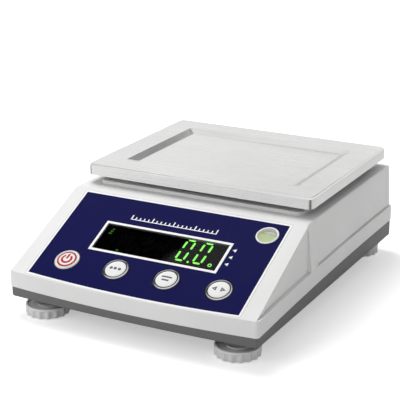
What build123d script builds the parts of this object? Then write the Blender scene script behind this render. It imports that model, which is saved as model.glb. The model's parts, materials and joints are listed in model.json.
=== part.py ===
from build123d import *
from math import atan2, cos, degrees, pi, radians, sin, tan
import os

# Bench counting scale.  Millimetres, +Z up, +X to the operator's right, -Y to the operator.
# The origin is on the bench, under the middle of the housing.

# ---- driving dimensions of the housing ----
body_width = 200.0  # across the belt
body_depth = 257.0  # from the middle of the bowed front to the back
body_height = 60.0  # underside of the tray to the flat top of the housing
front_bow = 3.0  # how far the middle of the front stands out past its corners
foot_height = 13.6  # bench to the underside of the tray
tray_front_height = 7.65  # tray wall at the front corners
tray_rear_height = 13.0  # tray wall at the back
seam_arch = 2.1  # how far the seam arches over a straight line
belt_height = 12.5  # lower band of the upper housing
slope_run = 87.1  # control panel, front to back, seen from above
corner_radius = 2.6
rear_corner_radius = 4.2
wall = 2.5
step_inset = 1.8  # upper walls stand in from the belt by this
top_inset = 3.0  # and by this at the top, after their draft
seam_gap = 0.25  # shadow line between the upper housing and the tray

front_y = -body_depth / 2
corner_y = front_y + front_bow
rear_y = body_depth / 2
half_width = body_width / 2
tray_z = foot_height
seam_front_z = tray_z + tray_front_height
seam_rear_z = tray_z + tray_rear_height
lip_z = seam_front_z + belt_height
top_z = tray_z + body_height
shoulder_y = corner_y + slope_run
slope_angle = degrees(atan2(top_z - lip_z, slope_run))
seam_front_drop = 0.4  # fall of the seam per mm, forward of the front corners
inner_inset = top_inset + wall  # walls of the hollow above the belt

# ---- plinth on the top, and the pan over it ----
pan_width = 188.4
pan_depth = 150.0
pan_y = 47.6  # middle of the pan
pan_gap = 4.2  # plinth top to the lower edge of the pan's skirt
pan_skirt = 8.6
sheet = 1.0
pan_corner = 5.0
pan_rim = 21.0  # flat rim round the dished floor
dish_depth = 2.5
dish_slope = 6.5
plinth_height = 2.4
plinth_width = 170.0
plinth_depth = 143.8
plinth_corner = 5.0
hub_hole = 38.0  # square opening that the load post passes through

plinth_z = top_z + plinth_height
skirt_z = plinth_z + pan_gap
pan_top_z = skirt_z + pan_skirt
dish_under_z = pan_top_z - dish_depth - sheet

# ---- control panel: places are (x, up the slope from the front corners' lip) ----
overlay_thick = 0.5
overlay_half = 86.0
overlay_low = 0.8
overlay_high = 92.5
overlay_sag = 3.2  # lower edge follows the bowed front
overlay_gap = 0.4
window_width = 104.2
window_height = 30.6
window_thick = 1.5
window_up = 49.7
window_gap = 0.25
window_ledge = 2.2
key_radius = 9.8
key_gap = 0.4
key_pitch = 41.0
key_up = 20.1
key_dome = 1.5
key_edge = 0.5
key_flange = 1.4
board_drop = 13.0  # panel face to the top of the display board
pcb = 1.6
switch_size = 12.0
switch_high = 5.0
plunger_radius = 3.0
stem_radius = 2.2
flange_drop = 0.3
display_width = 97.0
display_height = 26.0
vial_x = 72.3
vial_up = 78.2
vial_radius = 9.4
vial_cup_radius = 7.8
vial_depth = 8.0
board_half = 68.0
board_low = 7.0
board_high = 66.0

# ---- load path ----
plate_width = 72.0
plate_depth = 132.0
plate_thick = 2.0
plate_stand = 5.2
cell_width = 30.0
cell_height = 22.0
cell_length = 130.0
riser_height = 11.7
riser_length = 32.0
flex_travel = 0.4
flex_gap = 0.45
support_width = 140.0
support_depth = 104.0
support_thick = 3.0
support_gap = 1.2
bumper_radius = 6.0
cell_screw_radius = 3.0
cell_screw_pitch = 16.0
stop_radius = 2.5

floor_z = tray_z + wall
plate_z = floor_z + plate_stand
riser_z = plate_z + plate_thick
cell_z = riser_z + riser_height
cell_top_z = cell_z + cell_height
support_z = plinth_z + support_gap
live_y = pan_y - cell_length / 2 + 18.0
fixed_y = pan_y + cell_length / 2 - 18.0

# ---- feet ----
foot_x = 77.7
foot_front_y = -110.5
foot_rear_y = 111.4
foot_radius = 16.3
foot_thick = 7.4
foot_flutes = 16
pad_radius = 13.4
pad_proud = 0.5
hub_radius = 8.0
hub_drop = 0.2  # hub's top below the rim of the foot, so that it clears the boss when screwed in
stud_radius = 4.0
stud_clearance = 0.06
stud_top = 24.0
boss_radius = 10.0
boss_drop = 3.8
boss_top = 22.0
nut_across = 13.0
nut_high = 6.5

# ---- battery, its door and the boards ----
battery_width = 47.5
battery_length = 101.0
battery_height = 44.0
battery_x = -65.0
battery_y = 20.0
foam = 1.0
door_gap = 0.4
door_rebate = 1.5
door_ledge = 2.0
door_tail = 15.0
main_low_x = 34.0
main_high_x = 82.0
main_low_y = 20.0
main_high_y = 118.0
main_z = 26.5
jack_x = 60.0
jack_up = 5.0  # board to the middle of the socket
jack_nose_radius = 4.4
jack_bore_radius = 3.2

# ---- fasteners ----
screw_radius = 1.5
screw_clearance = 0.05
head_radius = 2.9
head_high = 2.0
column_radius = 4.0
column_gap = 0.3
housing_screws_at = [
    (sx * x, y) for x, y in ((89.0, -78.0), (89.0, 97.0), (28.0, 119.0), (40.0, -118.5)) for sx in (-1, 1)
]
panel_screws_at = [(sx * x, s) for x, s in ((41.0, 14.0), (64.0, 58.0)) for sx in (-1, 1)]
main_screws_at = [(x, y) for x in (40.0, 78.0) for y in (24.0, 100.0)]
plate_screws_at = [(sx * 30.0, pan_y + sy * 58.0) for sx in (-1, 1) for sy in (-1, 1)]

LOW = (Align.CENTER, Align.CENTER, Align.MIN)

panel = Plane(
    origin=(0, corner_y, lip_z),
    x_dir=(1, 0, 0),
    z_dir=(0, -sin(radians(slope_angle)), cos(radians(slope_angle))),
)


def on_panel(x, up, out=0.0):
    """Location on the control panel: x, distance up the slope, distance out of its face."""
    return panel.location * Pos(x, up, out)


def rod(radius, low, high, x=0.0, y=0.0):
    """Upright round bar between two heights."""
    return Pos(x, y, low) * Cylinder(radius, high - low, align=LOW)


def slab(width, depth, low, high, radius=0.0, x=0.0, y=0.0):
    """Upright block between two heights, with rounded upright corners."""
    outline = RectangleRounded(width, depth, radius) if radius else Rectangle(width, depth)
    return Pos(x, y, low) * extrude(outline, high - low)


def plan(inset, front_r, rear_r):
    """Outline of the housing seen from above, drawn in by inset, with its bowed front."""
    half = half_width - inset
    front = corner_y + inset
    rear = rear_y - inset
    left, right = (-half, front), (half, front)
    edges = [
        ThreePointArc(left, (0, front_y + inset), right),
        Line(right, (half, rear)),
        Line((half, rear), (-half, rear)),
        Line((-half, rear), left),
    ]
    face = make_face(edges)
    rear_corners = face.vertices().sort_by(Axis.Y)[-2:]
    face = fillet(rear_corners, rear_r)
    front_corners = face.vertices().sort_by(Axis.Y)[:2]
    return fillet(front_corners, front_r)


def side_prism(edges, half):
    """Solid of a side view (Y, Z) carried across the housing."""
    return extrude(Plane.YZ * make_face(edges), half, both=True)


def seam_height(y, rise=0.0):
    """Height of the arched seam at y, raised by rise."""
    t = (y - corner_y) / (rear_y - corner_y)
    return seam_front_z + (seam_rear_z - seam_front_z) * t + 4 * seam_arch * t * (1 - t) + rise


def seam_edges(rise, y_front, y_rear):
    """The seam in side view: a short fall in front of the corners, then one long arc."""
    middle = (corner_y + y_rear) / 2
    tip = (y_front, seam_height(corner_y, rise) - seam_front_drop * (corner_y - y_front))
    start = (corner_y, seam_height(corner_y, rise))
    end = (y_rear, seam_height(y_rear, rise))
    arc = ThreePointArc(start, (middle, seam_height(middle, rise)), end)
    return [Line(tip, start), arc], tip, end


def above_seam(rise, ceiling):
    """Everything over the seam, raised by rise, up to a ceiling height."""
    seam, tip, end = seam_edges(rise, front_y - 10, rear_y + 10)
    lid = [
        Line(end, (end[0], ceiling)),
        Line((end[0], ceiling), (tip[0], ceiling)),
        Line((tip[0], ceiling), tip),
    ]
    return side_prism(seam + lid, half_width + 20)


def under_panel(drop, ceiling):
    """Everything under the control panel and the flat top, both lowered by drop."""
    a = radians(slope_angle)
    front = front_y - 10
    rear = rear_y + 10
    low = tray_z - 10
    shift = drop / cos(a)
    roof = ceiling - drop
    front_z = lip_z + (front - corner_y) * tan(a) - shift
    knee = corner_y + (roof + shift - lip_z) / tan(a)
    points = [(front, low), (rear, low), (rear, roof), (knee, roof), (front, front_z)]
    return side_prism(Polyline(points, close=True).edges(), half_width + 20)


# ---------------------------------------------------------------- upper housing
shadow_high = 1.0  # groove that parts the upper walls from the belt
shadow_deep = 1.1
cheek_deep = 0.8  # three-cornered recess beside the control panel
cheek_margin = 3.2  # between the recess and the panel's edge
pillar_front = shoulder_y - 0.4  # upright behind the recess, flush with the belt at its foot
pillar_flat = 7.0
pillar_fade = 10.0
draft_foot_z = seam_rear_z + belt_height


def wall_in(z):
    """How far the drafted upper walls stand in from the belt at height z."""
    return step_inset + (top_inset - step_inset) * (z - draft_foot_z) / (top_z - draft_foot_z)


def outside_wall(reach):
    """Section of what is cut away outside an upper wall that ends at reach before its draft."""
    low, high = tray_z, top_z + 15
    return [(reach - wall_in(low), low), (reach + 15, low), (reach + 15, high), (reach - wall_in(high), high)]


def section_at(y, points):
    """Upright section (X, Z) at y, facing backwards."""
    frame = Plane(origin=(0, y, 0), x_dir=(1, 0, 0), z_dir=(0, -1, 0))
    return frame * make_face(Polyline(points, close=True).edges())


def side_cutter():
    """Material outside the right upper wall, over the belt."""
    cut = extrude(section_at(rear_y + 10, outside_wall(half_width)), body_depth + 20)
    return cut & above_seam(belt_height, top_z + 30)


def rear_cutter():
    """The same step and draft across the back wall."""
    points = Polyline(outside_wall(rear_y), close=True)
    return side_prism(points.edges(), half_width + 20) & above_seam(belt_height, top_z + 30)


def shadow_groove():
    """Groove at the foot of the upper walls, along both sides and the back."""
    band = above_seam(belt_height, top_z + 30) - above_seam(belt_height + shadow_high, top_z + 40)
    start = corner_y + corner_radius
    middle = (start + rear_y + 20) / 2
    ring = slab(body_width + 30, rear_y + 20 - start, tray_z, top_z, 0, 0, middle)
    core_half = half_width - step_inset - shadow_deep
    core_rear = rear_y - step_inset - shadow_deep
    core = slab(2 * core_half, core_rear - start + 20, 0, 120, 0, 0, (core_rear + start - 20) / 2)
    core = fillet(core.edges().filter_by(Axis.Z).group_by(Axis.Y)[-1], rear_corner_radius - 2)
    return (band & ring) - core


def cheek_recess():
    """Shallow three-cornered recess in the right wall beside the control panel."""
    a = radians(slope_angle)
    front = corner_y + 5.0
    drop = cheek_margin / cos(a)
    top = lip_z + (pillar_front - corner_y) * tan(a) - drop
    low = lip_z + (front - corner_y) * tan(a) - drop
    corners = [(front, tray_z), (pillar_front, tray_z), (pillar_front, top), (front, low)]
    outline = Polyline(corners, close=True)
    block = extrude(Plane.YZ * make_face(outline.edges()), half_width + 20)
    keep = [(0, 0), (half_width - wall_in(0) - cheek_deep, 0)]
    keep += [(half_width - wall_in(top_z + 15) - cheek_deep, top_z + 15), (0, top_z + 15)]
    core = extrude(section_at(rear_y, keep), body_depth)
    return (block - core) & above_seam(belt_height, top_z + 30)


def pillar():
    """Upright behind the right recess: flush with the belt at its foot, fading out above and behind."""
    foot = seam_height(pillar_front, belt_height) - 1.0
    crown = top_z - 4.0
    root = half_width - top_inset - 1.0
    full = [(root, foot), (half_width, foot), (half_width, foot + 2.5), (half_width - wall_in(crown), crown),
            (root, crown)]
    sunk = half_width - step_inset - 0.1
    inner = half_width - wall_in(crown) - 0.05
    gone = [(root, foot), (sunk, foot), (sunk, foot + 2.5), (inner, crown), (root, crown)]
    behind = pillar_front + pillar_flat
    block = extrude(section_at(behind, full), pillar_flat)
    fade = [section_at(behind, full), section_at(behind + pillar_fade, gone)]
    return block + loft(fade, ruled=True)


def overlay_outline(grow):
    """Face of the printed overlay in panel coordinates, made larger by grow."""
    half = overlay_half + grow
    low = overlay_low - grow
    high = overlay_high + grow
    edges = [
        ThreePointArc((-half, low), (0, low - overlay_sag), (half, low)),
        Line((half, low), (half, high)),
        Line((half, high), (-half, high)),
        Line((-half, high), (-half, low)),
    ]
    return fillet(make_face(edges).vertices(), 1.0)


def key_places():
    return [((i - 1.5) * key_pitch, key_up) for i in range(4)]


def make_upper_housing():
    outer = extrude(plan(0, corner_radius, rear_corner_radius), top_z + 20)
    outer = outer & under_panel(0, top_z) & above_seam(seam_gap, top_z + 30)
    right = side_cutter()
    outer = outer - right - mirror(right, Plane.YZ) - rear_cutter()
    upright = [e for e in outer.edges() if e.center().Y > rear_y - 10 and abs(e.center().X) > half_width - 8]
    rear_posts = [e for e in upright if e.length > 20 and e.center().Z > draft_foot_z]
    outer = fillet(rear_posts, rear_corner_radius - 2)
    rounded = [e for e in outer.edges() if abs(e.center().Z - top_z) < 0.01 and e.center().Y > shoulder_y + 1]
    outer = fillet(rounded, 1.6)
    outer = outer - shadow_groove()
    cheek = cheek_recess()
    upright = pillar()
    outer = outer - cheek - mirror(cheek, Plane.YZ) + upright + mirror(upright, Plane.YZ)

    plinth = slab(plinth_width, plinth_depth, top_z - wall, plinth_z, plinth_corner, 0, pan_y)
    plinth = fillet(plinth.faces().sort_by(Axis.Z)[-1].edges(), 0.8)

    belt_hollow = extrude(plan(wall, corner_radius - wall + 0.5, rear_corner_radius - wall), top_z)
    belt_hollow = belt_hollow & under_panel(wall, top_z) - above_seam(belt_height - wall, top_z + 30)
    upper_hollow = extrude(plan(inner_inset, 1.5, 2.0), top_z + 20) & under_panel(wall, top_z)
    shell = outer + plinth - belt_hollow - upper_hollow

    columns = [rod(column_radius, floor_z, top_z, x, y) for x, y in housing_screws_at]
    boss = Cylinder(3.2, board_drop - 1, align=LOW)
    bosses = [on_panel(x, s, -board_drop) * boss for x, s in panel_screws_at]
    inside = under_panel(wall / 2, top_z) & extrude(plan(wall / 2, 2, 3), top_z)
    column_foot = floor_z + 4.0 + column_gap
    posts = (Compound(columns) & inside) - slab(400, 400, 0, column_foot)
    shell = shell + posts + bosses
    pilots = [rod(screw_radius + screw_clearance, 0, 34.0, x, y) for x, y in housing_screws_at]
    pilots += [
        on_panel(x, s, -board_drop) * Cylinder(screw_radius + screw_clearance, 8, align=LOW)
        for x, s in panel_screws_at
    ]
    recess = panel.location * Pos(0, 0, -overlay_thick) * extrude(overlay_outline(overlay_gap), 5)
    seat = on_panel(0, window_up, -window_thick) * Box(
        window_width + 2 * window_gap, window_height + 2 * window_gap, 5, align=LOW
    )
    opening = on_panel(0, window_up, -10) * Box(
        window_width - 2 * window_ledge, window_height - 2 * window_ledge, 20, align=LOW
    )
    keys = [on_panel(x, s, -8) * Cylinder(key_radius + key_gap, 16, align=LOW) for x, s in key_places()]
    vial = on_panel(vial_x, vial_up, -6) * Cylinder(vial_cup_radius + 0.2, 12, align=LOW)
    hub = slab(hub_hole, hub_hole, top_z - 10, plinth_z + 5, 4, 0, live_y)
    jack = Pos(jack_x, rear_y, main_z + pcb + jack_up) * Rot(90, 0, 0) * Cylinder(jack_nose_radius + 0.2, 30)
    return shell - pilots - recess - seat - opening - keys - vial - hub - jack


# ---------------------------------------------------------------- base tray
tray_inset = 0.5
tongue_high = 1.7
tongue_thick = 1.2
tongue_gap = 0.3


def battery_box(grow, low, high):
    return slab(battery_width + 2 * grow, battery_length + 2 * grow, low, high, 0, battery_x, battery_y)


def door_plate(shrink):
    """Outline block of the door in its rebate, with a tail at the back for its screw."""
    width = battery_width + 2 * (foam + door_ledge) - 2 * shrink
    front = battery_y - battery_length / 2 - foam - door_ledge + shrink
    rear = battery_y + battery_length / 2 + foam + door_tail - shrink
    return slab(width, rear - front, tray_z, tray_z + door_rebate, 3, battery_x, (front + rear) / 2)


door_screw_y = battery_y + battery_length / 2 + foam + door_tail / 2 + 1.0


def make_base_tray():
    outer = extrude(plan(tray_inset, corner_radius, rear_corner_radius), 60)
    outer = outer & slab(400, 400, tray_z, 90)
    outer = fillet(outer.faces().sort_by(Axis.Z)[0].edges(), 1.5)
    rim = outer - above_seam(0, 120)
    hollow = extrude(plan(tray_inset + wall, 2, 3.5), 90) & slab(400, 400, floor_z, 90)
    tray = rim - hollow
    tongue_out = wall + tongue_gap
    tongue = extrude(plan(tongue_out, 1.6, 3.2), 90) - extrude(plan(tongue_out + tongue_thick, 1, 2), 90)
    tongue = tongue & slab(400, 400, floor_z, 90) - above_seam(tongue_high, 120)
    tray = tray + tongue

    solid = []
    cuts = []
    for x in (-foot_x, foot_x):
        for y in (foot_front_y, foot_rear_y):
            boss = rod(boss_radius, tray_z - boss_drop, boss_top, x, y)
            solid.append(fillet(boss.edges().sort_by(Axis.Z)[0], 0.8))
            cuts.append(rod(stud_radius + 0.5, 0, boss_top + 1, x, y))
            pocket = extrude(RegularPolygon(nut_across / 2 + 0.15, 6, major_radius=False), nut_high + 1)
            cuts.append(Pos(x, y, boss_top - nut_high) * pocket)
    for x, y in housing_screws_at:
        solid.append(rod(5.5, floor_z - 1, floor_z + 4.0, x, y))
        cuts.append(rod(screw_radius + 0.3, 0, floor_z + 5, x, y))
        cuts.append(rod(head_radius + 0.4, 0, floor_z + 1.1, x, y))
    for x, y in plate_screws_at:
        solid.append(rod(5.0, floor_z - 1, plate_z, x, y))
        cuts.append(rod(screw_radius + screw_clearance, floor_z, plate_z + 1, x, y))
    for x, y in main_screws_at:
        solid.append(rod(3.2, floor_z - 1, main_z, x, y))
        cuts.append(rod(screw_radius + screw_clearance, floor_z + 2, main_z + 1, x, y))
    fence = battery_box(foam + 2.0, floor_z - 1, floor_z + 20) - battery_box(foam, 0, 100)
    solid.append(fence)
    solid.append(rod(4.5, floor_z - 1, floor_z + 9, battery_x, door_screw_y))
    cuts.append(rod(screw_radius + screw_clearance, 0, floor_z + 8, battery_x, door_screw_y))
    cuts.append(battery_box(foam, 0, floor_z + 1))
    cuts.append(door_plate(0) - slab(400, 400, tray_z + door_rebate, 90))
    cuts.append(rod(5.0, 0, floor_z + 1, 0, live_y))  # to reach the overload stop
    tray = tray + [s & extrude(plan(tray_inset + 1, 2, 3.5), 90) for s in solid]
    return tray - cuts


def make_battery_door():
    plate = door_plate(door_gap)
    plug = battery_box(foam - door_gap, tray_z, floor_z)
    door = plate + plug
    sink = rod(head_radius + 0.2, 0, tray_z + 0.9, battery_x, door_screw_y)
    hole = rod(screw_radius + 0.2, 0, 30, battery_x, door_screw_y)
    grips = [
        slab(26, 1.2, 0, tray_z + 0.6, 0.5, battery_x, battery_y + 4.0 * i) for i in range(-2, 3)
    ]
    return door - sink - hole - grips


def make_battery_door_screw():
    head = rod(head_radius, tray_z + 0.1, tray_z + 0.9, battery_x, door_screw_y)
    slot = slab(7, 0.8, 0, tray_z + 0.5, 0, battery_x, door_screw_y)
    return head - slot + rod(screw_radius, tray_z + 0.9, floor_z + 7, battery_x, door_screw_y)


# ---------------------------------------------------------------- control panel pieces
def make_overlay():
    sheet_face = extrude(overlay_outline(0), overlay_thick)
    body = panel.location * Pos(0, 0, -overlay_thick) * sheet_face
    holes = [on_panel(x, s, -2) * Cylinder(key_radius + key_gap, 5, align=LOW) for x, s in key_places()]
    window = on_panel(0, window_up, -3) * Box(
        window_width + 2 * window_gap, window_height + 2 * window_gap, 6, align=LOW
    )
    vial = on_panel(vial_x, vial_up, -3) * Cylinder(vial_cup_radius + 0.2, 6, align=LOW)
    return body - holes - window - vial


def make_window():
    lens = Box(window_width, window_height, window_thick, align=LOW)
    lens = fillet(lens.edges().filter_by(Axis.Z), 0.8)
    return on_panel(0, window_up, -window_thick) * lens


def make_display():
    block = Box(display_width, display_height, board_drop - 3.0, align=LOW)
    block = chamfer(block.edges().group_by(Axis.Z)[-1], 0.4)
    return on_panel(0, window_up, -board_drop) * block


def make_display_board():
    up = (board_low + board_high) / 2
    board = on_panel(0, up, -board_drop - pcb) * Box(2 * board_half, board_high - board_low, pcb, align=LOW)
    holes = [on_panel(x, s, -20) * Cylinder(screw_radius + 0.2, 20, align=LOW) for x, s in panel_screws_at]
    return board - holes


def make_switches():
    """Four push switches soldered to the display board, each open for its plunger."""
    body = Box(switch_size, switch_size, switch_high, align=LOW)
    body = chamfer(body.edges().filter_by(Axis.Z), 0.6)
    body = body - Pos(0, 0, switch_high - 3.0) * Cylinder(plunger_radius + 0.35, 4, align=LOW)
    return [on_panel(x, s, -board_drop) * body for x, s in key_places()]


def key_cap():
    """Round cap: domed top, barrel through the panel, flange under it and a stem."""
    flange_top = -wall - flange_drop
    flange_low = flange_top - 1.0
    stem_low = -board_drop + switch_high + 1.0
    shoulder = key_radius - 0.4
    rise = key_dome - key_edge
    ball = (shoulder**2 + rise**2) / (2 * rise)
    barrel = rod(key_radius, flange_low, key_edge)
    barrel = chamfer(barrel.edges().sort_by(Axis.Z)[-1], 0.39)
    dome = Pos(0, 0, key_dome - ball) * Sphere(ball) & rod(shoulder, flange_low, key_dome + 1)
    flange = rod(key_radius + key_flange, flange_low, flange_top)
    return barrel + dome + flange + rod(stem_radius, stem_low, -wall)


def plunger():
    top = -board_drop + switch_high + 1.0
    return Pos(0, 0, -board_drop + switch_high - 2.0) * Cylinder(
        plunger_radius, top + board_drop - switch_high + 2.0, align=LOW
    )


def make_vial_cup():
    low = -vial_depth
    inner = vial_cup_radius - 0.9
    body = Pos(0, 0, low) * Cylinder(vial_cup_radius, vial_depth, align=LOW)
    flange = chamfer(Cylinder(vial_radius, 0.8, align=LOW).edges().group_by(Axis.Z)[-1], 0.35)
    cup = body + flange - Pos(0, 0, low + 1.2) * Cylinder(inner, 20, align=LOW)
    return on_panel(vial_x, vial_up) * cup


def make_vial_liquid():
    inner = vial_cup_radius - 1.0
    low = 1.2 - vial_depth
    liquid = Pos(0, 0, low) * Cylinder(inner, -low - 1.0, align=LOW)
    bubble = Pos(0, 0, -1.0) * scale(Sphere(2.6), (1, 1, 0.45))
    return on_panel(vial_x, vial_up) * (liquid - bubble)


def make_vial_lens():
    lens = Pos(0, 0, -1.0) * Cylinder(vial_cup_radius - 1.0, 1.5, align=LOW)
    return on_panel(vial_x, vial_up) * fillet(lens.edges().group_by(Axis.Z)[-1], 0.4)


def screw(radius, length, head_r, head_h):
    """Pan-head screw standing on its point, the underside of the head at z = 0."""
    head = Cylinder(head_r, head_h, align=LOW)
    head = fillet(head.edges().group_by(Axis.Z)[-1], min(0.6, head_h * 0.4))
    cross = Pos(0, 0, head_h - 0.6) * (Box(head_r, 0.7, 2, align=LOW) + Box(0.7, head_r, 2, align=LOW))
    return head - cross + Pos(0, 0, -length) * Cylinder(radius, length, align=LOW)


def make_panel_screws():
    one = Rot(180, 0, 0) * screw(screw_radius, 8.0, head_radius, head_high)
    return [on_panel(x, s, -board_drop - pcb) * one for x, s in panel_screws_at]


# ---------------------------------------------------------------- load path pieces
def make_base_plate():
    plate = slab(plate_width, plate_depth, plate_z, riser_z, 6, 0, pan_y)
    holes = [rod(screw_radius + 0.3, 0, 60, x, y) for x, y in plate_screws_at]
    holes += [rod(cell_screw_radius + 0.3, 0, 60, 0, fixed_y + d * cell_screw_pitch / 2) for d in (-1, 1)]
    holes.append(rod(stop_radius + screw_clearance, 0, 60, 0, live_y))
    window = slab(24, 40, 0, 60, 5, 0, pan_y)
    return plate - holes - window


def make_load_cell():
    """Aluminium bending beam: two round holes joined by a slot make its thin, strained webs."""
    beam = slab(cell_width, cell_length, cell_z, cell_top_z, 0, 0, pan_y)
    beam = chamfer(beam.edges(), 0.5)
    middle = (cell_z + cell_top_z) / 2
    bores = [
        Pos(0, pan_y + d * 12, middle) * Rot(0, 90, 0) * Cylinder(8.6, cell_width + 4) for d in (-1, 1)
    ]
    slot = Pos(0, pan_y, middle) * Box(cell_width + 4, 24, 8)
    drilled = [
        rod(cell_screw_radius + 0.08, cell_top_z - 12, cell_top_z + 1, 0, live_y + d * cell_screw_pitch / 2)
        for d in (-1, 1)
    ]
    drilled += [
        rod(cell_screw_radius + 0.08, cell_z - 1, cell_z + 12, 0, fixed_y + d * cell_screw_pitch / 2)
        for d in (-1, 1)
    ]
    return beam - bores - slot - drilled


def riser(y, low, high):
    block = slab(cell_width, riser_length, low, high, 1.0, 0, y)
    holes = [rod(cell_screw_radius + 0.2, 0, 100, 0, y + d * cell_screw_pitch / 2) for d in (-1, 1)]
    return block - holes


def make_fixed_screws():
    reach = plate_thick + riser_height + 10.0
    one = Rot(180, 0, 0) * screw(cell_screw_radius, reach, 5.0, 3.6)
    return [Pos(0, fixed_y + d * cell_screw_pitch / 2, plate_z) * one for d in (-1, 1)]


def make_live_screws():
    reach = support_z + support_thick - cell_top_z + 9.0
    one = screw(cell_screw_radius, reach, 5.0, 3.0)
    return [Pos(0, live_y + d * cell_screw_pitch / 2, support_z + support_thick) * one for d in (-1, 1)]


def make_overload_stop():
    """Screw that catches the beam's free end when it is overloaded, and its lock nut."""
    tip = cell_z - flex_travel - 0.4
    hexagon = extrude(RegularPolygon(4.0, 6, major_radius=False), 3.0)
    shank = rod(stop_radius, plate_z - 1.5, tip - 3.0, 0, live_y)
    bored = hexagon - rod(stop_radius + screw_clearance, -1, 9)
    return [shank + Pos(0, live_y, tip - 3.0) * hexagon, Pos(0, live_y, riser_z) * bored]


bumper_high = 2.4
bumpers_at = [(sx * 52.0, pan_y + sy * 30.0) for sx in (-1, 1) for sy in (-1, 1)]


def make_pan_support():
    """Cast spider: a ribbed plate with four raised seats, screwed to the load cell's free end."""
    low, high = support_z, support_z + support_thick
    seat_z = dish_under_z - bumper_high
    plate = slab(support_width, support_depth, low, high, 10, 0, pan_y)
    hollows = [
        slab(46, 22, 0, 200, 6, sx * 37.0, pan_y + sy * 16.0) for sx in (-1, 1) for sy in (-1, 1)
    ]
    post_keep = slab(cell_width + 8, riser_length + 2, low, high, 3, 0, live_y)
    ribs = [slab(support_width - 20, 3, high, seat_z - 0.6, 0, 0, pan_y + sy * 30.0) for sy in (-1, 1)]
    ribs += [slab(3, support_depth - 20, high, seat_z - 0.6, 0, sx * 52.0, pan_y) for sx in (-1, 1)]
    seats = [rod(bumper_radius + 2.0, low, seat_z, x, y) for x, y in bumpers_at]
    holes = [
        rod(cell_screw_radius + 0.2, 0, 120, 0, live_y + d * cell_screw_pitch / 2) for d in (-1, 1)
    ]
    sockets = [rod(2.2, seat_z - 2.0, seat_z + 1, x, y) for x, y in bumpers_at]
    return plate - hollows + post_keep + ribs + seats - holes - sockets


def make_bumpers():
    """Rubber rests, each with a short plug that is pushed into its seat on the spider."""
    seat_z = dish_under_z - bumper_high
    rests = []
    for x, y in bumpers_at:
        pad = rod(bumper_radius, seat_z, dish_under_z, x, y)
        pad = fillet(pad.edges().sort_by(Axis.Z)[-1], 0.6)
        rests.append(pad + rod(2.1, seat_z - 1.8, seat_z, x, y))
    return rests


def frustum(width, depth, radius, low, shrink, high):
    """Block with sloping sides: width by depth at the top, smaller by shrink all round below."""
    upper = Pos(0, pan_y, high) * RectangleRounded(width, depth, radius)
    lower = Pos(0, pan_y, low) * RectangleRounded(width - 2 * shrink, depth - 2 * shrink, radius)
    return loft([lower, upper], ruled=True)


def make_pan():
    outer = slab(pan_width, pan_depth, skirt_z, pan_top_z, pan_corner, 0, pan_y)
    outer = fillet(outer.faces().sort_by(Axis.Z)[-1].edges(), 1.6)
    in_w = pan_width - 2 * sheet
    in_d = pan_depth - 2 * sheet
    inner = slab(in_w, in_d, skirt_z - 5, pan_top_z - sheet, pan_corner - sheet, 0, pan_y)
    inner = fillet(inner.faces().sort_by(Axis.Z)[-1].edges(), 0.6)
    dish_w = pan_width - 2 * pan_rim
    dish_d = pan_depth - 2 * pan_rim
    under = frustum(dish_w + 0.5, dish_d + 0.5, 4, dish_under_z, dish_slope, pan_top_z - sheet)
    dish = frustum(dish_w, dish_d, 4, pan_top_z - dish_depth, dish_slope, pan_top_z)
    return outer - inner + under - dish


# ---------------------------------------------------------------- feet
def make_foot_disc(x, y):
    """Moulded foot: fluted rim, shallow dished top, hub gripping the stud, recess for the pad."""
    low, high = pad_proud, pad_proud + foot_thick
    disc = rod(foot_radius, low, high, x, y)
    disc = fillet(disc.edges().sort_by(Axis.Z)[-1], 0.7)
    disc = disc - rod(foot_radius - 1.8, high - 1.0, high + 1, x, y)
    disc = disc + rod(hub_radius, high - 2.0, high - hub_drop, x, y)
    flute_r = 3.0
    flute_at = foot_radius + 2.1
    flutes = [
        rod(flute_r, low - 1, high - 1.3, x + flute_at * cos(t), y + flute_at * sin(t))
        for t in (2 * pi * i / foot_flutes for i in range(foot_flutes))
    ]
    return disc - flutes - rod(pad_radius + 0.1, 0, 1.6, x, y) - rod(stud_radius, 3.0, 30, x, y)


def make_foot_stud(x, y):
    stud = rod(stud_radius, 3.0, stud_top, x, y)
    return chamfer(stud.edges().sort_by(Axis.Z)[-1], 0.8)


def make_foot_nuts():
    nuts = []
    for x in (-foot_x, foot_x):
        for y in (foot_front_y, foot_rear_y):
            nut = extrude(RegularPolygon(nut_across / 2, 6, major_radius=False), nut_high)
            nut = Pos(x, y, boss_top - nut_high) * nut
            nuts.append(nut - rod(stud_radius + stud_clearance, 0, 60, x, y))
    return nuts


# ---------------------------------------------------------------- electronics
def make_main_board():
    board = slab(
        main_high_x - main_low_x, main_high_y - main_low_y, main_z, main_z + pcb, 1,
        (main_low_x + main_high_x) / 2, (main_low_y + main_high_y) / 2,
    )
    return board - [rod(screw_radius + 0.2, 0, 60, x, y) for x, y in main_screws_at]


def make_main_screws():
    one = screw(screw_radius, 6.0, head_radius, head_high)
    return [Pos(x, y, main_z + pcb) * one for x, y in main_screws_at]


def make_plate_screws():
    one = screw(screw_radius, 6.0, head_radius + 0.4, 2.2)
    return [Pos(x, y, riser_z) * one for x, y in plate_screws_at]


def make_housing_screws():
    one = Rot(180, 0, 0) * screw(screw_radius, 14.0, head_radius, head_high)
    return [Pos(x, y, floor_z + 1.1) * one for x, y in housing_screws_at]


board_z = main_z + pcb


def make_shield():
    can = slab(24, 30, board_z, board_z + 6, 1, 58, 55)
    return can - slab(23, 29, board_z - 1, board_z + 5.5, 0.6, 58, 55)


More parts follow.
